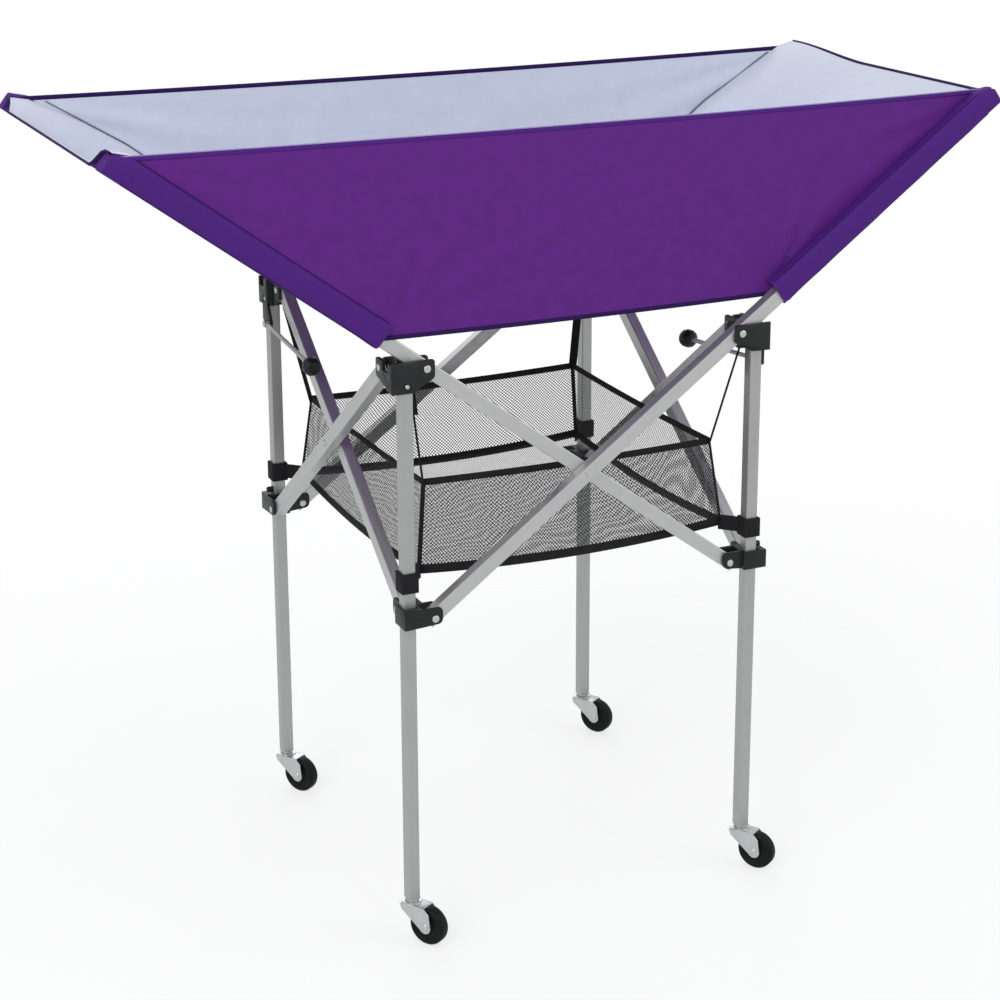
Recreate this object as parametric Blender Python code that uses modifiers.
"""Folding ball cart: a fabric hammock on four scissor-linked legs with casters.

The frame stands on the floor at z = 0, its middle at the origin, its long side along X and
its front towards -Y. The four sides are the same scissor, turned by quarter turns: each has
an inner bar and an outer bar. On the front and the back both bars run on past the upper
hubs and carry the hammock. Run it with: blender --background --python part.py
"""

import math

import bmesh
import bpy
from mathutils import Matrix, Vector

# Frame, in metres
LEG_SPACING = 0.473
LEG_SIZE = 0.016
TUBE_WALL = 0.0012
TUBE_CORNER = 0.0015
LEG_BOTTOM_Z = 0.056
LOWER_PIVOT_Z = 0.431
UPPER_PIVOT_Z = 0.739
PIVOT_INSET = 0.028

# Scissor bars
BAR_HEIGHT = 0.018
BAR_DEPTH = 0.016
BAR_GAP = 0.0006
BAR_END = 0.009
ARM_LENGTH = 0.455
PIVOT_HOLE_RADIUS = 0.0029

# Hubs, sliders and rivets
HUB_WALL = 0.004
CHEEK_THICKNESS = 0.004
CHEEK_CLEARANCE = 0.0004
CHEEK_END = 0.010
HUB_ABOVE_PIVOT = 0.011
HUB_BELOW_PIVOT = 0.025
CHEEK_BELOW_PIVOT = 0.0115
TAPER_START = 0.016
HUB_CAP = 0.003
CHANNEL_CLEARANCE = 0.0006
SLIDER_ABOVE_PIVOT = 0.014
SLIDER_BELOW_PIVOT = 0.010
SLIDER_TAPER = 0.003
SOCKET_CLEARANCE = 0.0003
RIVET_RADIUS = 0.0025
RIVET_HEAD_RADIUS = 0.0045
RIVET_HEAD_HEIGHT = 0.0012
SEAT_GAP = 0.0003

# Snap buttons on the outer faces of two legs, which the sliders stop against
BUTTON_RADIUS = 0.004
BUTTON_REACH = 0.009
BUTTON_LIFT = 0.0055
BUTTON_COLLAR_RADIUS = 0.0052
BUTTON_COLLAR = 0.0012
BUTTON_DOME = 0.0012

# Casters
WHEEL_RADIUS = 0.025
WHEEL_WIDTH = 0.017
WHEEL_SHOULDER = 0.003
WHEEL_STEPS = 24
WHEEL_HUB_RADIUS = 0.009
WHEEL_RECESS = 0.0015
CASTER_TRAIL = 0.0255
CASTER_HEADING_DEG = -57.0
AXLE_RADIUS = 0.003
AXLE_HEAD_RADIUS = 0.0048
AXLE_HEAD = 0.0014
FORK_PLATE = 0.0016
FORK_SIDE_CLEARANCE = 0.0008
FORK_TOP_Z = 0.0505
FORK_CROWN_LENGTH = 0.021
FORK_EYE_RADIUS = 0.0085
RACE_RADIUS = 0.0130
RACE_HEIGHT = 0.0022
STEM_RADIUS = 0.0050
STEM_LENGTH = 0.024
STEM_FLANGE_RADIUS = 0.0088
STEM_FLANGE = 0.0026
KING_PIN_RADIUS = 0.0028
KING_PIN_HEAD_RADIUS = 0.0050
KING_PIN_HEAD = 0.0014

# Hammock
FABRIC = 0.0025
HAMMOCK_FLOOR_Z = 0.780
HAMMOCK_RIM_Z = 1.016
HAMMOCK_SEAM_GAP = 0.0004
FLOOR_NOTCH_CLEARANCE = 0.003

# Mesh basket and its webbing
BASKET_RIM_Z = 0.585
BASKET_FLOOR_Z = 0.479
BASKET_RIM_INSET = 0.0385
BASKET_FLOOR_INSET = 0.0265
MESH = 0.002
LOOP_TOP_Z = 0.489
LOOP_BOTTOM_Z = 0.464
LOOP_THICKNESS = 0.003
TONGUE_WIDTH = 0.016
HANGER_WIDTH = 0.012
HANGER_THICKNESS = 0.0015
HANGER_OFFSET = 0.0125

# Stays: a rod with a knob, hinged on a lug under two of the upper hubs
STAY_PIVOT_Z = 0.692
STAY_PIVOT_OUT = 0.019
STAY_LENGTH = 0.176
STAY_TILT_DEG = 5.0
STAY_ROD_RADIUS = 0.003
STAY_EYE_RADIUS = 0.0052
STAY_EYE_THICKNESS = 0.0064
STAY_PIN_RADIUS = 0.0020
STAY_PIN_HEAD = 0.001
STAY_LUG_THICKNESS = 0.0036
STAY_LUG_RADIUS = 0.007
STAY_SIDE_CLEARANCE = 0.0004
KNOB_RADIUS = 0.012
KNOB_END_RADIUS = 0.008
KNOB_LENGTH = 0.020
KNOB_CHAMFER = 0.005

ROUND_STEPS = 16
SMALL_STEPS = 10

COLOURS = {
    "aluminium": ((0.62, 0.62, 0.61), 0.35, 1.0),
    "zinc": ((0.66, 0.68, 0.67), 0.30, 1.0),
    "black_plastic": ((0.016, 0.018, 0.018), 0.45, 0.0),
    "black_rubber": ((0.010, 0.010, 0.010), 0.60, 0.0),
    "purple_fabric": ((0.118, 0.024, 0.223), 0.70, 0.0),
    "black_mesh": ((0.020, 0.020, 0.021), 0.85, 0.0),
    "black_webbing": ((0.012, 0.012, 0.012), 0.80, 0.0),
}

# Sizes that follow from the ones above
HALF = LEG_SPACING / 2
PIVOT_X = HALF - PIVOT_INSET
PIVOT_RISE = UPPER_PIVOT_Z - LOWER_PIVOT_Z
BAR_ANGLE = math.atan2(PIVOT_RISE, 2 * PIVOT_X)
PIVOT_SPAN = math.hypot(PIVOT_RISE, 2 * PIVOT_X)
CENTRE_Z = (UPPER_PIVOT_Z + LOWER_PIVOT_Z) / 2
BAR_OFFSET = (BAR_DEPTH + BAR_GAP) / 2
BAR_FAR_FACE = BAR_OFFSET + BAR_DEPTH / 2
CORE = LEG_SIZE / 2 + HUB_WALL
SLOT_NEAR = BAR_OFFSET - BAR_DEPTH / 2 - CHEEK_CLEARANCE
SLOT_FAR = BAR_FAR_FACE + CHEEK_CLEARANCE
CHEEK_NEAR = SLOT_NEAR - CHEEK_THICKNESS
CHEEK_FAR = SLOT_FAR + CHEEK_THICKNESS
CHEEK_REACH = PIVOT_INSET + CHEEK_END
SOCKET = LEG_SIZE / 2 + SOCKET_CLEARANCE
# The height over its pivot of an arm's underside, where it enters the hub's core
ARM_UNDERSIDE = (PIVOT_INSET - CORE) * math.tan(BAR_ANGLE) - BAR_HEIGHT / 2 / math.cos(BAR_ANGLE)
CHANNEL_FLOOR = ARM_UNDERSIDE - CHANNEL_CLEARANCE
LEG_TOP_Z = UPPER_PIVOT_Z + CHANNEL_FLOOR - HUB_CAP
BUTTON_Z = LOWER_PIVOT_Z + SLIDER_ABOVE_PIVOT + BUTTON_LIFT
FORK_HALF = WHEEL_WIDTH / 2 + FORK_SIDE_CLEARANCE
BASKET_RIM_HALF = HALF - BASKET_RIM_INSET
BASKET_FLOOR_HALF = HALF - BASKET_FLOOR_INSET

# Quarter turns from the front left corner and from the front
CORNERS = {"fl": 0, "fr": 1, "br": 2, "bl": 3}
SIDES = {"front": 0, "right": 1, "back": 2, "left": 3}

for leftover in list(bpy.data.objects):
    bpy.data.objects.remove(leftover)
PART = bpy.data.collections.new("folding_ball_cart")
CUTTERS = bpy.data.collections.new("cutters")
bpy.context.scene.collection.children.link(PART)
bpy.context.scene.collection.children.link(CUTTERS)


def make_materials():
    """One Principled material for each finish."""
    made = {}
    for name, (colour, roughness, metallic) in COLOURS.items():
        material = bpy.data.materials.new(name)
        material.use_nodes = True
        shader = material.node_tree.nodes["Principled BSDF"]
        shader.inputs["Base Color"].default_value = (*colour, 1)
        shader.inputs["Roughness"].default_value = roughness
        shader.inputs["Metallic"].default_value = metallic
        made[name] = material
    return made


MATERIALS = make_materials()


def quarter_turn(turns):
    """A turn about Z by so many quarters."""
    return Matrix.Rotation(math.radians(90 * turns), 4, "Z")


def corner_frame(corner):
    """A leg's frame: its axis on Z, and its inner bar's slot in the hub towards +X."""
    return quarter_turn(CORNERS[corner]) @ Matrix.Translation((-HALF, -HALF, 0))


def side_frame(side):
    """A side's frame: X along it and Y inwards, as on the front."""
    return quarter_turn(SIDES[side])


def upright(x, y, z):
    """A frame at a point whose X stays, whose Y points up and whose Z points to -Y."""
    return Matrix.Translation((x, y, z)) @ Matrix.Rotation(math.pi / 2, 4, "X")


def sideways(x, y, z):
    """A frame at a point whose Z points to +X."""
    return Matrix.Translation((x, y, z)) @ Matrix.Rotation(math.pi / 2, 4, "Y")


def helper(data):
    """An object of the cutters' collection, kept out of the model."""
    obj = bpy.data.objects.new("helper", data)
    obj.hide_render = True
    obj.display_type = "WIRE"
    CUTTERS.objects.link(obj)
    return obj


def baked(obj):
    """The helper's mesh with its modifiers, welded, its faces out, and the helper removed."""
    bpy.context.view_layer.update()
    graph = bpy.context.evaluated_depsgraph_get()
    mesh = bpy.data.meshes.new_from_object(obj.evaluated_get(graph))
    bm = bmesh.new()
    bm.from_mesh(mesh)
    bmesh.ops.remove_doubles(bm, verts=bm.verts, dist=1e-6)
    bmesh.ops.recalc_face_normals(bm, faces=bm.faces)
    bm.to_mesh(mesh)
    bm.free()
    bpy.data.objects.remove(obj)
    return mesh


def box(low, high):
    """A box between two corners."""
    bm = bmesh.new()
    bmesh.ops.create_cube(bm, size=1)
    low = Vector(low)
    high = Vector(high)
    bmesh.ops.scale(bm, vec=high - low, verts=bm.verts)
    bmesh.ops.translate(bm, vec=(low + high) / 2, verts=bm.verts)
    mesh = bpy.data.meshes.new("box")
    bm.to_mesh(mesh)
    bm.free()
    return mesh


def tapered_block(foot, foot_z, head, head_z):
    """A block from one level rectangle up to another, each (low x, low y, high x, high y)."""
    bm = bmesh.new()
    bmesh.ops.create_cube(bm, size=1)
    for vert in bm.verts:
        low_x, low_y, high_x, high_y = head if vert.co.z > 0 else foot
        x = high_x if vert.co.x > 0 else low_x
        y = high_y if vert.co.y > 0 else low_y
        vert.co = (x, y, head_z if vert.co.z > 0 else foot_z)
    mesh = bpy.data.meshes.new("block")
    bm.to_mesh(mesh)
    bm.free()
    return mesh


def plate(outlines, thickness, frame):
    """A flat plate: outlines in a frame's XY plane, from its z = 0 up."""
    curve = bpy.data.curves.new("plate", "CURVE")
    curve.dimensions = "2D"
    curve.fill_mode = "BOTH"
    curve.extrude = thickness / 2
    for outline in outlines:
        spline = curve.splines.new("POLY")
        spline.points.add(len(outline) - 1)
        spline.use_cyclic_u = True
        for point, (x, y) in zip(spline.points, outline):
            point.co = (x, y, 0, 1)
    mesh = baked(helper(curve))
    mesh.transform(frame @ Matrix.Translation((0, 0, thickness / 2)))
    return mesh


def turned(profile, steps, frame, closed=False):
    """A solid of revolution about a frame's Z, from (radius, height) points, top to bottom."""
    mesh = bpy.data.meshes.new("turned")
    edges = [(n, n + 1) for n in range(len(profile) - 1)]
    if closed:
        edges.append((len(profile) - 1, 0))
    mesh.from_pydata([(r, 0, z) for r, z in profile], edges, [])
    obj = helper(mesh)
    screw = obj.modifiers.new("screw", "SCREW")
    screw.steps = steps
    screw.render_steps = steps
    screw.use_merge_vertices = True
    screw.merge_threshold = 1e-5
    made = baked(obj)
    flats_level = Matrix.Rotation(math.pi / steps, 4, "Z")
    made.transform(frame @ flats_level)
    return made


def cylinder(radius, low, high, steps, frame):
    """A cylinder along a frame's Z, between two heights."""
    return turned([(0, high), (radius, high), (radius, low), (0, low)], steps, frame)


def combined(mesh, cut=(), joined=()):
    """The mesh with some meshes joined to it and then others cut out of it."""
    base = helper(mesh)
    tools = []
    for operation, others in (("UNION", joined), ("DIFFERENCE", cut)):
        for other in others:
            tool = helper(other)
            boolean = base.modifiers.new(operation.lower(), "BOOLEAN")
            boolean.operation = operation
            boolean.solver = "EXACT"
            boolean.object = tool
            tools.append(tool)
    made = baked(base)
    for tool in tools:
        bpy.data.objects.remove(tool)
    return made


def node(name, mesh, material, frame, smooth=False):
    """A named piece of the cart, at a frame."""
    own = mesh.copy()
    own.name = name
    own.materials.clear()
    own.materials.append(MATERIALS[material])
    if smooth:
        own.shade_smooth()
        own.set_sharp_from_angle(angle=math.radians(35))
    obj = bpy.data.objects.new(name, own)
    PART.objects.link(obj)
    obj.matrix_world = frame
    return obj


def joint(name, location, pieces, parent=None):
    """An empty on a joint's axis, which carries the pieces that the joint moves."""
    empty = bpy.data.objects.new(name, None)
    empty.empty_display_size = 0.02
    empty.location = location
    PART.objects.link(empty)
    bpy.context.view_layer.update()
    if parent is not None:
        empty.parent = parent
        empty.matrix_parent_inverse = parent.matrix_world.inverted()
    for piece in pieces:
        piece.parent = empty
        piece.matrix_parent_inverse = empty.matrix_world.inverted()
    return empty


def rectangle(low_x, low_y, high_x, high_y):
    """A rectangle's outline, anticlockwise."""
    return [(low_x, low_y), (high_x, low_y), (high_x, high_y), (low_x, high_y)]


def round_rectangle(width, height, radius, steps=2):
    """A rectangle's outline about the origin with round corners, anticlockwise."""
    points = []
    for quarter, (side_x, side_y) in enumerate(((1, 1), (-1, 1), (-1, -1), (1, -1))):
        centre_x = side_x * (width / 2 - radius)
        centre_y = side_y * (height / 2 - radius)
        for step in range(steps + 1):
            angle = math.pi / 2 * (quarter + step / steps)
            x = centre_x + radius * math.cos(angle)
            y = centre_y + radius * math.sin(angle)
            points.append((x, y))
    return points


def square_tube(width, height, length, frame):
    """A square tube along a frame's Z, from its z = 0."""
    outer = round_rectangle(width, height, TUBE_CORNER)
    x = width / 2 - TUBE_WALL
    y = height / 2 - TUBE_WALL
    return plate([outer, rectangle(-x, -y, x, y)], length, frame)


def bar_mesh(reach):
    """A scissor bar along +X from its lower pivot, and so far on past its upper one."""
    along_x = Matrix(((0, 0, 1, -BAR_END), (1, 0, 0, 0), (0, 1, 0, 0), (0, 0, 0, 1)))
    tube = square_tube(BAR_DEPTH, BAR_HEIGHT, BAR_END + PIVOT_SPAN + reach, along_x)
    pivots = (0, PIVOT_SPAN / 2, PIVOT_SPAN)
    holes = [
        cylinder(PIVOT_HOLE_RADIUS, -BAR_DEPTH, BAR_DEPTH, SMALL_STEPS, upright(x, 0, 0))
        for x in pivots
    ]
    return combined(tube, cut=holes)


def riveted(bar):
    """The inner bar with the rivet of the crossing, which goes on through the outer bar."""
    far = 2 * BAR_OFFSET + BAR_DEPTH / 2 + SEAT_GAP
    near = TUBE_WALL / 2 - BAR_DEPTH / 2
    profile = [
        (0, far + RIVET_HEAD_HEIGHT),
        (RIVET_HEAD_RADIUS, far + RIVET_HEAD_HEIGHT),
        (RIVET_HEAD_RADIUS, far),
        (RIVET_RADIUS, far),
        (RIVET_RADIUS, near),
        (RIVET_HEAD_RADIUS, near),
        (RIVET_HEAD_RADIUS, -BAR_DEPTH / 2 - RIVET_HEAD_HEIGHT),
        (0, -BAR_DEPTH / 2 - RIVET_HEAD_HEIGHT),
    ]
    towards_outer_bar = Matrix.Rotation(-math.pi / 2, 4, "X")
    frame = Matrix.Translation((PIVOT_SPAN / 2, 0, 0)) @ towards_outer_bar
    return combined(bar, joined=[turned(profile, SMALL_STEPS, frame)])


def bar_frame(side, layer):
    """The frame of a side's inner or outer bar, at its lower pivot."""
    inner = layer == "inner"
    start_x = PIVOT_X if inner else -PIVOT_X
    start_y = -HALF + BAR_OFFSET if inner else -HALF - BAR_OFFSET
    facing = Matrix.Rotation(math.pi if inner else 0, 4, "Z")
    lift = Matrix.Rotation(-BAR_ANGLE, 4, "Y")
    start = Matrix.Translation((start_x, start_y, LOWER_PIVOT_Z))
    return side_frame(side) @ start @ facing @ lift


def make_bars():
    """The eight scissor bars: long ones on the front and the back, short ones between."""
    pieces = {}
    for sides, reach in ((("front", "back"), ARM_LENGTH), (("right", "left"), BAR_END)):
        outer = bar_mesh(reach)
        inner = riveted(bar_mesh(reach))
        for side in sides:
            for layer, mesh in (("inner", inner), ("outer", outer)):
                name = f"{side}_bar_{layer}"
                pieces[name] = node(name, mesh, "aluminium", bar_frame(side, layer))
    return pieces


def clevis_outline():
    """An upper hub's plan: the inner bar's slot opens to +X, the outer bar's slot to +Y."""
    return [
        (-CHEEK_FAR, -CORE),
        (CORE, -CORE),
        (CORE, CHEEK_NEAR),
        (CHEEK_REACH, CHEEK_NEAR),
        (CHEEK_REACH, SLOT_NEAR),
        (CORE, SLOT_NEAR),
        (CORE, SLOT_FAR),
        (CHEEK_REACH, SLOT_FAR),
        (CHEEK_REACH, CHEEK_FAR),
        (-CHEEK_NEAR, CHEEK_FAR),
        (-CHEEK_NEAR, CHEEK_REACH),
        (-SLOT_NEAR, CHEEK_REACH),
        (-SLOT_NEAR, CORE),
        (-SLOT_FAR, CORE),
        (-SLOT_FAR, CHEEK_REACH),
        (-CHEEK_FAR, CHEEK_REACH),
    ]


def clevis_rivet(low, high, frame):
    """A rivet across two cheeks, whose outer faces are at two heights on a frame's Z."""
    return turned(
        [
            (0, high + RIVET_HEAD_HEIGHT),
            (RIVET_HEAD_RADIUS, high + RIVET_HEAD_HEIGHT),
            (RIVET_HEAD_RADIUS, high - CHEEK_THICKNESS / 2),
            (RIVET_RADIUS, high - CHEEK_THICKNESS / 2),
            (RIVET_RADIUS, low + CHEEK_THICKNESS / 2),
            (RIVET_HEAD_RADIUS, low + CHEEK_THICKNESS / 2),
            (RIVET_HEAD_RADIUS, low - RIVET_HEAD_HEIGHT),
            (0, low - RIVET_HEAD_HEIGHT),
        ],
        SMALL_STEPS,
        frame,
    )


def taper_cutters(depth, end_depth):
    """Wedges that slant the undersides of the cheeks up to a lower reach at their ends."""
    slope = (depth - end_depth) / (CHEEK_REACH - TAPER_START)
    past = CHEEK_REACH + CORE
    wedge = [
        (0, -depth - slope * TAPER_START),
        (0, -3 * depth),
        (past, -3 * depth),
        (past, -depth + slope * (past - TAPER_START)),
    ]
    span = 4 * CHEEK_REACH
    across = upright(0, span / 2, 0)
    return [plate([wedge], span, across), plate([wedge], span, quarter_turn(1) @ across)]


def upper_hub_mesh(passing):
    """An upper hub at its pivots' height, open for the inner or the outer bar's arm."""
    low_z = Matrix.Translation((0, 0, -HUB_BELOW_PIVOT))
    block = plate([clevis_outline()], HUB_ABOVE_PIVOT + HUB_BELOW_PIVOT, low_z)
    rivets = [
        clevis_rivet(-CHEEK_FAR, -CHEEK_NEAR, upright(PIVOT_INSET, 0, 0)),
        clevis_rivet(-CHEEK_FAR, -CHEEK_NEAR, sideways(0, PIVOT_INSET, 0)),
    ]
    socket_top = LEG_TOP_Z - UPPER_PIVOT_Z + SOCKET_CLEARANCE
    socket = box((-SOCKET, -SOCKET, -2 * HUB_BELOW_PIVOT), (SOCKET, SOCKET, socket_top))
    beyond = 2 * CHEEK_REACH
    if passing == "inner":
        channel = box(
            (-beyond, SLOT_NEAR, CHANNEL_FLOOR), (CORE + CHEEK_CLEARANCE, SLOT_FAR, beyond)
        )
    else:
        channel = box(
            (-SLOT_FAR, -beyond, CHANNEL_FLOOR), (-SLOT_NEAR, CORE + CHEEK_CLEARANCE, beyond)
        )
    cuts = [socket, channel, *taper_cutters(HUB_BELOW_PIVOT, CHEEK_BELOW_PIVOT)]
    return combined(block, cut=cuts, joined=rivets)


def slider_mesh():
    """A slider at its pivots' height: the upper hub's plan with its slots swapped."""
    swapped = [(y, x) for x, y in reversed(clevis_outline())]
    hole = rectangle(-SOCKET, -SOCKET, SOCKET, SOCKET)
    low_z = Matrix.Translation((0, 0, -SLIDER_BELOW_PIVOT))
    block = plate([swapped, hole], SLIDER_ABOVE_PIVOT + SLIDER_BELOW_PIVOT, low_z)
    rivets = [
        clevis_rivet(CHEEK_NEAR, CHEEK_FAR, upright(PIVOT_INSET, 0, 0)),
        clevis_rivet(CHEEK_NEAR, CHEEK_FAR, sideways(0, PIVOT_INSET, 0)),
    ]
    cuts = taper_cutters(SLIDER_BELOW_PIVOT, SLIDER_BELOW_PIVOT - SLIDER_TAPER)
    return combined(block, cut=cuts, joined=rivets)


def stay_lug_meshes():
    """A stay's lug and its pin on the outer side of an upper hub, at its pivots' height."""
    top = HUB_WALL - HUB_BELOW_PIVOT
    pivot = STAY_PIVOT_Z - UPPER_PIVOT_Z
    low = pivot - STAY_LUG_RADIUS
    outline = [
        (-LEG_SIZE / 2, top),
        (-LEG_SIZE / 2, pivot),
        (STAY_PIVOT_OUT - STAY_LUG_RADIUS, low),
        (STAY_PIVOT_OUT + STAY_LUG_RADIUS / 2, low),
        (STAY_PIVOT_OUT + STAY_LUG_RADIUS, pivot),
        (CORE - SEAT_GAP, top),
    ]
    face = CORE - SEAT_GAP
    lug = plate([outline], STAY_LUG_THICKNESS, upright(0, STAY_LUG_THICKNESS - face, 0))
    eye_far = CORE + 2 * STAY_SIDE_CLEARANCE + STAY_EYE_THICKNESS
    inside = face - STAY_LUG_THICKNESS / 2
    pin = turned(
        [
            (0, eye_far + STAY_PIN_HEAD),
            (2 * STAY_PIN_RADIUS, eye_far + STAY_PIN_HEAD),
            (2 * STAY_PIN_RADIUS, eye_far),
            (STAY_PIN_RADIUS, eye_far),
            (STAY_PIN_RADIUS, inside),
            (0, inside),
        ],
        SMALL_STEPS,
        upright(STAY_PIVOT_OUT, 0, pivot),
    )
    return [lug, pin]


def make_hubs():
    """The upper hubs, two of them with a stay's lug, and the sliders below them."""
    hubs = {}
    sliders = {}
    slider = slider_mesh()
    for corners, passing in ((("fl", "br"), "inner"), (("fr", "bl"), "outer")):
        hub = upper_hub_mesh(passing)
        if passing == "outer":
            hub = combined(hub, joined=stay_lug_meshes())
        for corner in corners:
            axis = corner_frame(corner)
            top = axis @ Matrix.Translation((0, 0, UPPER_PIVOT_Z))
            low = axis @ Matrix.Translation((0, 0, LOWER_PIVOT_Z))
            hubs[corner] = node(f"upper_hub_{corner}", hub, "black_plastic", top)
            sliders[corner] = node(f"slider_{corner}", slider, "black_plastic", low)
    return hubs, sliders


def make_stays():
    """The two stays: each a rod with an eye on its lug's pin, and a knob on its end."""
    half = STAY_EYE_THICKNESS / 2
    eye = cylinder(STAY_EYE_RADIUS, -half, half, SMALL_STEPS, upright(0, 0, 0))
    bore_radius = STAY_PIN_RADIUS + SEAT_GAP
    bore = cylinder(bore_radius, -2 * half, 2 * half, SMALL_STEPS, upright(0, 0, 0))
    end = STAY_LENGTH + KNOB_LENGTH / 4
    out = sideways(0, 0, 0)
    rod = cylinder(STAY_ROD_RADIUS, bore_radius, end, SMALL_STEPS, out)
    arm = combined(eye, joined=[rod], cut=[bore])

    near = STAY_LENGTH - KNOB_LENGTH / 2
    far = STAY_LENGTH + KNOB_LENGTH / 2
    fit = STAY_ROD_RADIUS + SEAT_GAP
    knob = turned(
        [
            (0, far),
            (KNOB_END_RADIUS, far),
            (KNOB_RADIUS, far - KNOB_CHAMFER),
            (KNOB_RADIUS, near + KNOB_CHAMFER),
            (KNOB_END_RADIUS, near),
            (fit, near),
            (fit, end + SEAT_GAP),
            (0, end + SEAT_GAP),
        ],
        ROUND_STEPS,
        out,
    )
    pin_y = -CORE - STAY_SIDE_CLEARANCE - half
    place = Matrix.Translation((STAY_PIVOT_OUT, pin_y, STAY_PIVOT_Z))
    tilt = Matrix.Rotation(math.radians(STAY_TILT_DEG), 4, "Y")
    pieces = {}
    for corner in ("fr", "bl"):
        frame = corner_frame(corner) @ place @ tilt
        rod_node = node(f"stay_rod_{corner}", arm, "aluminium", frame)
        knob_node = node(f"stay_knob_{corner}", knob, "black_plastic", frame, smooth=True)
        pieces[corner] = [rod_node, knob_node]
    return pieces


def make_legs():
    """The four legs, two of them with the hole of a snap button in the outer face."""
    base = Matrix.Translation((0, 0, LEG_BOTTOM_Z))
    plain = square_tube(LEG_SIZE, LEG_SIZE, LEG_TOP_Z - LEG_BOTTOM_Z, base)
    through_outer_wall = upright(0, 0, BUTTON_Z)
    hole = cylinder(BUTTON_RADIUS + SEAT_GAP, 0, LEG_SIZE, SMALL_STEPS, through_outer_wall)
    drilled = combined(plain, cut=[hole])
    legs = {}
    for corner in CORNERS:
        mesh = drilled if corner in ("fr", "bl") else plain
        legs[corner] = node(f"leg_{corner}", mesh, "aluminium", corner_frame(corner))
    return legs


def make_buttons():
    """The two snap buttons, each a round head with a collar inside the leg's wall."""
    seat = LEG_SIZE / 2 - TUBE_WALL - SEAT_GAP
    end = LEG_SIZE / 2 + BUTTON_REACH
    profile = [
        (0, end),
        (BUTTON_RADIUS - BUTTON_DOME, end),
        (BUTTON_RADIUS, end - BUTTON_DOME),
        (BUTTON_RADIUS, seat),
        (BUTTON_COLLAR_RADIUS, seat),
        (BUTTON_COLLAR_RADIUS, seat - BUTTON_COLLAR),
        (0, seat - BUTTON_COLLAR),
    ]
    mesh = turned(profile, SMALL_STEPS, upright(0, 0, BUTTON_Z))
    pieces = {}
    for corner in ("fr", "bl"):
        name = f"snap_button_{corner}"
        pieces[corner] = [node(name, mesh, "black_plastic", corner_frame(corner))]
    return pieces


def stem_mesh():
    """A caster's stem in a leg's end, with its flange and its king pin."""
    flange_top = LEG_BOTTOM_Z - SEAT_GAP
    flange_low = flange_top - STEM_FLANGE
    pin_low = FORK_TOP_Z - FORK_PLATE - SEAT_GAP
    profile = [
        (0, LEG_BOTTOM_Z + STEM_LENGTH),
        (STEM_RADIUS, LEG_BOTTOM_Z + STEM_LENGTH),
        (STEM_RADIUS, flange_top),
        (STEM_FLANGE_RADIUS, flange_top),
        (STEM_FLANGE_RADIUS, flange_low),
        (KING_PIN_RADIUS, flange_low),
        (KING_PIN_RADIUS, pin_low),
        (KING_PIN_HEAD_RADIUS, pin_low),
        (KING_PIN_HEAD_RADIUS, pin_low - KING_PIN_HEAD),
        (0, pin_low - KING_PIN_HEAD),
    ]
    return turned(profile, ROUND_STEPS, Matrix.Identity(4))


def fork_mesh():
    """A caster's fork about its swivel axis: a race, a crown, two cheeks and the axle."""
    outer = FORK_HALF + FORK_PLATE
    back = -RACE_RADIUS
    crown_low = FORK_TOP_Z - FORK_PLATE
    race_top = FORK_TOP_Z + RACE_HEIGHT
    crown = box((back, -outer, crown_low), (back + FORK_CROWN_LENGTH, outer, FORK_TOP_Z))
    race = cylinder(RACE_RADIUS, crown_low, race_top, ROUND_STEPS, Matrix.Identity(4))
    eye = []
    for degrees in (-40, 0, 40, 80):
        angle = math.radians(degrees)
        x = CASTER_TRAIL + FORK_EYE_RADIUS * math.sin(angle)
        eye.append((x, WHEEL_RADIUS - FORK_EYE_RADIUS * math.cos(angle)))
    cheek = [(back, FORK_TOP_Z), (back, crown_low), *eye, (eye[-1][0], FORK_TOP_Z)]
    cheeks = [plate([cheek], FORK_PLATE, upright(0, y, 0)) for y in (-FORK_HALF, outer)]
    inside = outer - FORK_PLATE / 2
    axle = turned(
        [
            (0, outer + AXLE_HEAD),
            (AXLE_HEAD_RADIUS, outer + AXLE_HEAD),
            (AXLE_HEAD_RADIUS, inside),
            (AXLE_RADIUS, inside),
            (AXLE_RADIUS, -inside),
            (AXLE_HEAD_RADIUS, -inside),
            (AXLE_HEAD_RADIUS, -outer - AXLE_HEAD),
            (0, -outer - AXLE_HEAD),
        ],
        SMALL_STEPS,
        upright(CASTER_TRAIL, 0, WHEEL_RADIUS),
    )
    bore_radius = KING_PIN_RADIUS + SEAT_GAP
    bore = cylinder(bore_radius, 0, 2 * race_top, SMALL_STEPS, Matrix.Identity(4))
    return combined(crown, joined=[race, *cheeks, axle], cut=[bore])


def wheel_mesh():
    """A caster's wheel about its axle, with a flat of its tread at the bottom."""
    rim = WHEEL_RADIUS / math.cos(math.pi / WHEEL_STEPS)
    half = WHEEL_WIDTH / 2
    bore = AXLE_RADIUS + SEAT_GAP
    profile = [
        (bore, half),
        (WHEEL_HUB_RADIUS, half),
        (WHEEL_HUB_RADIUS + WHEEL_RECESS, half - WHEEL_RECESS),
        (rim - WHEEL_SHOULDER, half - WHEEL_RECESS),
        (rim, half - WHEEL_RECESS - WHEEL_SHOULDER),
    ]
    mirrored = [(radius, -height) for radius, height in reversed(profile)]
    return turned(profile + mirrored, WHEEL_STEPS, upright(0, 0, 0), closed=True)


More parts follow.
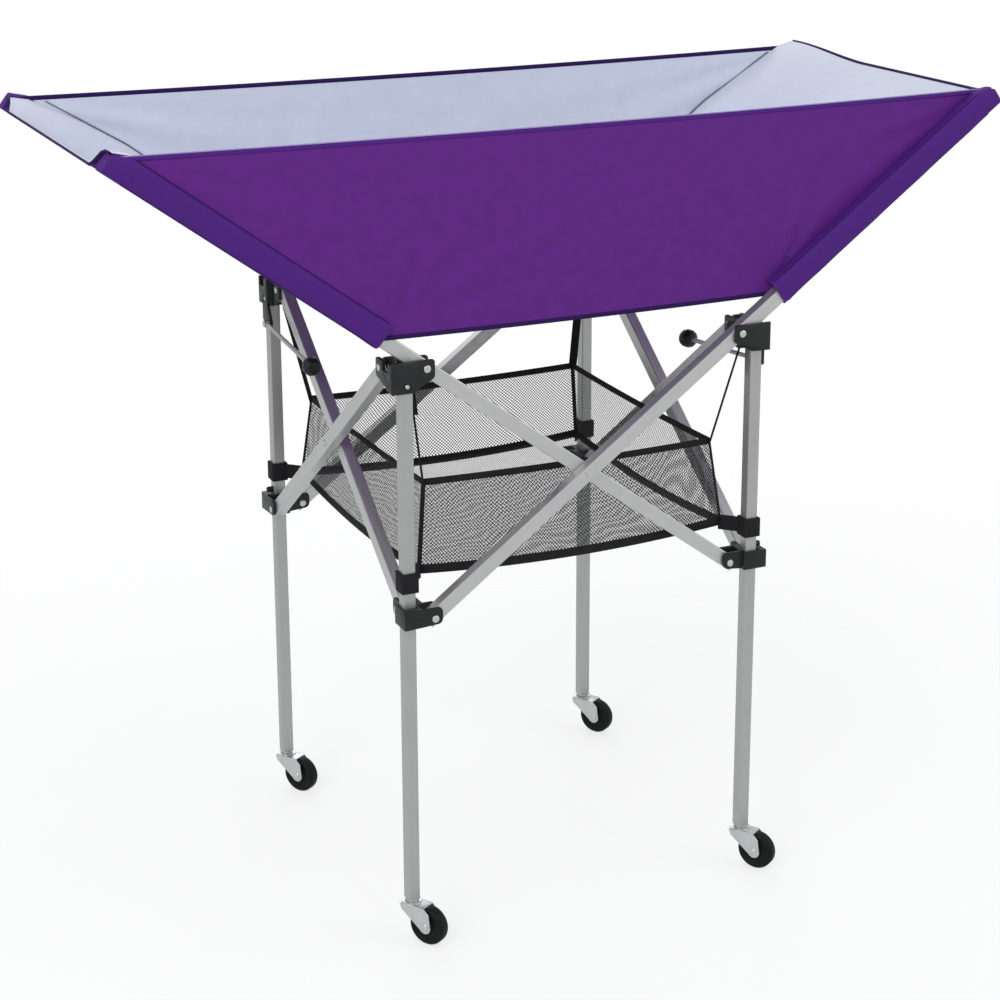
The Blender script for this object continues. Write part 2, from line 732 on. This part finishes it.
def make_casters():
    """The casters' stems, forks and wheels, all trailing the same way."""
    stem = stem_mesh()
    fork = fork_mesh()
    wheel = wheel_mesh()
    heading = Matrix.Rotation(math.radians(CASTER_HEADING_DEG), 4, "Z")
    stems = {}
    forks = {}
    wheels = {}
    for corner in CORNERS:
        axis = Matrix.Translation(corner_frame(corner).translation)
        turned_axis = axis @ heading
        hub = turned_axis @ Matrix.Translation((CASTER_TRAIL, 0, WHEEL_RADIUS))
        stems[corner] = node(f"caster_stem_{corner}", stem, "zinc", axis, smooth=True)
        forks[corner] = node(f"caster_fork_{corner}", fork, "zinc", turned_axis)
        wheel_name = f"caster_wheel_{corner}"
        wheels[corner] = node(wheel_name, wheel, "black_rubber", hub, smooth=True)
    return stems, forks, wheels


def arm_x(z, offset):
    """How far out an arm is at a height, on the line so far over and square to its middle."""
    run = (z - UPPER_PIVOT_Z - offset * math.cos(BAR_ANGLE)) / math.sin(BAR_ANGLE)
    return PIVOT_X + run * math.cos(BAR_ANGLE) - offset * math.sin(BAR_ANGLE)


def long_panel_mesh():
    """The hammock's front panel, which stands between the two front arms."""
    over = BAR_HEIGHT / 2 + SEAT_GAP
    foot = arm_x(HAMMOCK_FLOOR_Z, over)
    rim = arm_x(HAMMOCK_RIM_Z, over)
    outline = [
        (-foot, HAMMOCK_FLOOR_Z),
        (foot, HAMMOCK_FLOOR_Z),
        (rim, HAMMOCK_RIM_Z),
        (-rim, HAMMOCK_RIM_Z),
    ]
    return plate([outline], FABRIC, upright(0, -HALF + FABRIC / 2, 0))


def end_panel_mesh(near_y, far_y):
    """The hammock's left end, which lies low between the two left arms."""
    low = -BAR_HEIGHT / 2
    high = low + FABRIC
    rise = HAMMOCK_FLOOR_Z - UPPER_PIVOT_Z - high * math.cos(BAR_ANGLE)
    start = rise / math.sin(BAR_ANGLE)
    slab = box((-ARM_LENGTH, near_y, low), (-start, far_y, high))
    pivot = Matrix.Translation((-PIVOT_X, 0, UPPER_PIVOT_Z))
    slab.transform(pivot @ Matrix.Rotation(BAR_ANGLE, 4, "Y"))
    return slab


def half_floor_mesh(near_y):
    """The left half of the hammock's floor, notched for the inner arm."""
    end_x = arm_x(HAMMOCK_FLOOR_Z, FABRIC - BAR_HEIGHT / 2) - HAMMOCK_SEAM_GAP
    notch_x = arm_x(HAMMOCK_FLOOR_Z - FABRIC, BAR_HEIGHT / 2) - FLOOR_NOTCH_CLEARANCE
    wide = HALF - FABRIC / 2 - SEAT_GAP
    middle = HAMMOCK_SEAM_GAP / 2
    outline = [
        (-middle, -wide),
        (-middle, wide),
        (-end_x, wide),
        (-end_x, near_y),
        (-notch_x, near_y),
        (-notch_x, -wide),
    ]
    return plate([outline], FABRIC, Matrix.Translation((0, 0, HAMMOCK_FLOOR_Z - FABRIC)))


def make_hammock():
    """The hammock's long panels, end panels and half floors, clear of the arms."""
    near_y = BAR_FAR_FACE + SEAT_GAP - HALF
    wide = HALF - FABRIC / 2 - SEAT_GAP
    meshes = (
        ("hammock_front", "hammock_back", long_panel_mesh()),
        ("hammock_left", "hammock_right", end_panel_mesh(near_y, wide)),
        ("hammock_floor_left", "hammock_floor_right", half_floor_mesh(near_y)),
    )
    pieces = {}
    for first, second, mesh in meshes:
        pieces[first] = node(first, mesh, "purple_fabric", quarter_turn(0))
        pieces[second] = node(second, mesh, "purple_fabric", quarter_turn(2))
    return pieces


def make_basket():
    """The mesh basket's four leaning walls and its two half floors."""
    pieces = {}
    for side, turns in SIDES.items():
        fit = MESH + SEAT_GAP if side in ("left", "right") else 0
        foot = BASKET_FLOOR_HALF
        rim = BASKET_RIM_HALF
        wall = tapered_block(
            (fit - foot, -foot, foot - fit, MESH - foot),
            BASKET_FLOOR_Z + SEAT_GAP,
            (fit - rim, -rim, rim - fit, MESH - rim),
            BASKET_RIM_Z,
        )
        pieces[side] = node(f"basket_{side}", wall, "black_mesh", quarter_turn(turns))
    half = BASKET_FLOOR_HALF
    floor = box((-half, -half, BASKET_FLOOR_Z - MESH), (-SEAT_GAP / 2, half, BASKET_FLOOR_Z))
    for name, turns in (("basket_floor_left", 0), ("basket_floor_right", 2)):
        pieces[name] = node(name, floor, "black_mesh", quarter_turn(turns))
    return pieces


def basket_half(z):
    """Half the basket's width outside, at a height."""
    share = (z - BASKET_FLOOR_Z) / (BASKET_RIM_Z - BASKET_FLOOR_Z)
    return BASKET_FLOOR_HALF + share * (BASKET_RIM_HALF - BASKET_FLOOR_HALF)


def loop_mesh():
    """A webbing loop round a leg, with a tongue to the basket's lower corner."""
    inside = SOCKET
    outside = SOCKET + LOOP_THICKNESS
    squares = [rectangle(-side, -side, side, side) for side in (outside, inside)]
    height = LOOP_TOP_Z - LOOP_BOTTOM_Z
    ring = plate(squares, height, Matrix.Translation((0, 0, LOOP_BOTTOM_Z)))
    root = (inside + LOOP_THICKNESS / 2) * math.sqrt(2)
    tip = (HALF - BASKET_FLOOR_HALF) * math.sqrt(2) - SEAT_GAP
    width = TONGUE_WIDTH / 2
    tongue = box((root, -width, BASKET_FLOOR_Z - MESH), (tip, width, LOOP_TOP_Z))
    tongue.transform(Matrix.Rotation(math.pi / 4, 4, "Z"))
    return combined(ring, joined=[tongue])


def hanger_mesh():
    """A strip of webbing from under an upper hub to the basket's upper corner."""
    width = HANGER_WIDTH / 2
    foot_z = BASKET_RIM_Z - HANGER_WIDTH
    foot = (HALF - basket_half(foot_z)) * math.sqrt(2) - SEAT_GAP
    head = HANGER_OFFSET * math.sqrt(2)
    strip = tapered_block(
        (foot - HANGER_THICKNESS, -width, foot, width),
        foot_z,
        (head, -width, head + HANGER_THICKNESS, width),
        UPPER_PIVOT_Z - HUB_BELOW_PIVOT - SEAT_GAP,
    )
    strip.transform(Matrix.Rotation(math.pi / 4, 4, "Z"))
    return strip


def make_webbing():
    """The loops and the hangers that hold the basket to the legs."""
    loop = loop_mesh()
    hanger = hanger_mesh()
    pieces = {}
    for corner in CORNERS:
        axis = corner_frame(corner)
        pieces[corner] = [
            node(f"basket_loop_{corner}", loop, "black_webbing", axis),
            node(f"basket_hanger_{corner}", hanger, "black_webbing", axis),
        ]
    return pieces


def chain_side(side, first, parent, bars, riders):
    """Hang a side's first bar on its parent, its second bar on the first, and their riders.

    first is the hub that the chain starts from: left or right, as seen from outside. riders
    names what the first bar's foot, the second bar's foot and its head carry.
    """
    frame = side_frame(side)
    sign = -1 if first == "left" else 1
    order = ("inner", "outer") if first == "left" else ("outer", "inner")
    first_bar, second_bar = (bars[f"{side}_bar_{layer}"] for layer in order)
    top = frame @ Vector((sign * PIVOT_X, -HALF, UPPER_PIVOT_Z))
    crossing = frame @ Vector((0, -HALF, CENTRE_Z))
    places = {
        "first_foot": frame @ Vector((-sign * PIVOT_X, -HALF, LOWER_PIVOT_Z)),
        "second_foot": frame @ Vector((sign * PIVOT_X, -HALF, LOWER_PIVOT_Z)),
        "second_head": frame @ Vector((-sign * PIVOT_X, -HALF, UPPER_PIVOT_Z)),
    }
    first_with = [first_bar, *riders.get("first_bar", ())]
    second_with = [second_bar, *riders.get("second_bar", ())]
    turning = joint(f"{side}_first_bar", top, first_with, parent)
    crossed = joint(f"{side}_second_bar", crossing, second_with, turning)
    ends = {}
    for end, place in places.items():
        if end in riders:
            carrier = turning if end == "first_foot" else crossed
            ends[end] = joint(f"{side}_{end}", place, riders[end], carrier)
    return turning, crossed, ends


def centre_on_origin(root):
    """Move the cart along Y until its box's middle, casters and all, is on the origin."""
    bpy.context.view_layer.update()
    nodes = [obj for obj in PART.objects if obj.type == "MESH"]
    depths = [(obj.matrix_world @ vert.co).y for obj in nodes for vert in obj.data.vertices]
    root.location.y -= (min(depths) + max(depths)) / 2


def main():
    """Make every piece and hang each on the joint that moves it."""
    bars = make_bars()
    hubs, sliders = make_hubs()
    legs = make_legs()
    stems, forks, wheels = make_casters()
    buttons = make_buttons()
    stays = make_stays()
    hammock = make_hammock()
    basket = make_basket()
    webbing = make_webbing()
    with_leg = {
        corner: [legs[corner], hubs[corner], stems[corner], *webbing[corner]]
        for corner in CORNERS
    }
    with_leg["fl"] += [basket["front"], basket["left"]]
    with_leg["fr"].append(basket["right"])
    with_leg["bl"].append(basket["back"])

    leg = {"fl": joint("leg_fl_joint", corner_frame("fl").translation, with_leg["fl"])}
    front_riders = {
        "first_bar": [hammock["hammock_front"], hammock["hammock_left"]],
        "second_bar": [hammock["hammock_right"]],
        "first_foot": [sliders["fr"]],
        "second_foot": [sliders["fl"]],
        "second_head": with_leg["fr"],
    }
    front_first, front_second, ends = chain_side("front", "left", leg["fl"], bars, front_riders)
    leg["fr"] = ends["second_head"]
    left_riders = {"first_foot": [sliders["bl"]], "second_head": with_leg["bl"]}
    _, _, ends = chain_side("left", "right", leg["fl"], bars, left_riders)
    leg["bl"] = ends["second_head"]
    back_riders = {
        "first_bar": [hammock["hammock_back"]],
        "first_foot": [sliders["br"]],
        "second_head": with_leg["br"],
    }
    _, _, ends = chain_side("back", "right", leg["bl"], bars, back_riders)
    leg["br"] = ends["second_head"]
    chain_side("right", "left", leg["fr"], bars, {})

    seam_x = arm_x(HAMMOCK_FLOOR_Z, FABRIC - BAR_HEIGHT / 2)
    for side, sign, bar, base in (("left", -1, front_first, "fl"), ("right", 1, front_second, "fr")):
        seam = (sign * seam_x, 0, HAMMOCK_FLOOR_Z)
        joint(f"hammock_floor_{side}_seam", seam, [hammock[f"hammock_floor_{side}"]], bar)
        edge = (sign * BASKET_FLOOR_HALF, 0, BASKET_FLOOR_Z)
        joint(f"basket_floor_{side}_edge", edge, [basket[f"basket_floor_{side}"]], leg[base])
    for corner in ("fr", "bl"):
        pivot = stays[corner][0].matrix_world.translation.copy()
        joint(f"stay_{corner}", pivot, stays[corner], leg[corner])
        axis = corner_frame(corner) @ Vector((0, 0, BUTTON_Z))
        joint(f"snap_button_{corner}_slide", axis, buttons[corner], leg[corner])
    for corner in CORNERS:
        axis = corner_frame(corner).translation
        race = Vector((axis.x, axis.y, FORK_TOP_Z))
        swivel = joint(f"caster_swivel_{corner}", race, [forks[corner]], leg[corner])
        hub = wheels[corner].matrix_world.translation.copy()
        joint(f"caster_axle_{corner}", hub, [wheels[corner]], swivel)
    centre_on_origin(leg["fl"])


main()
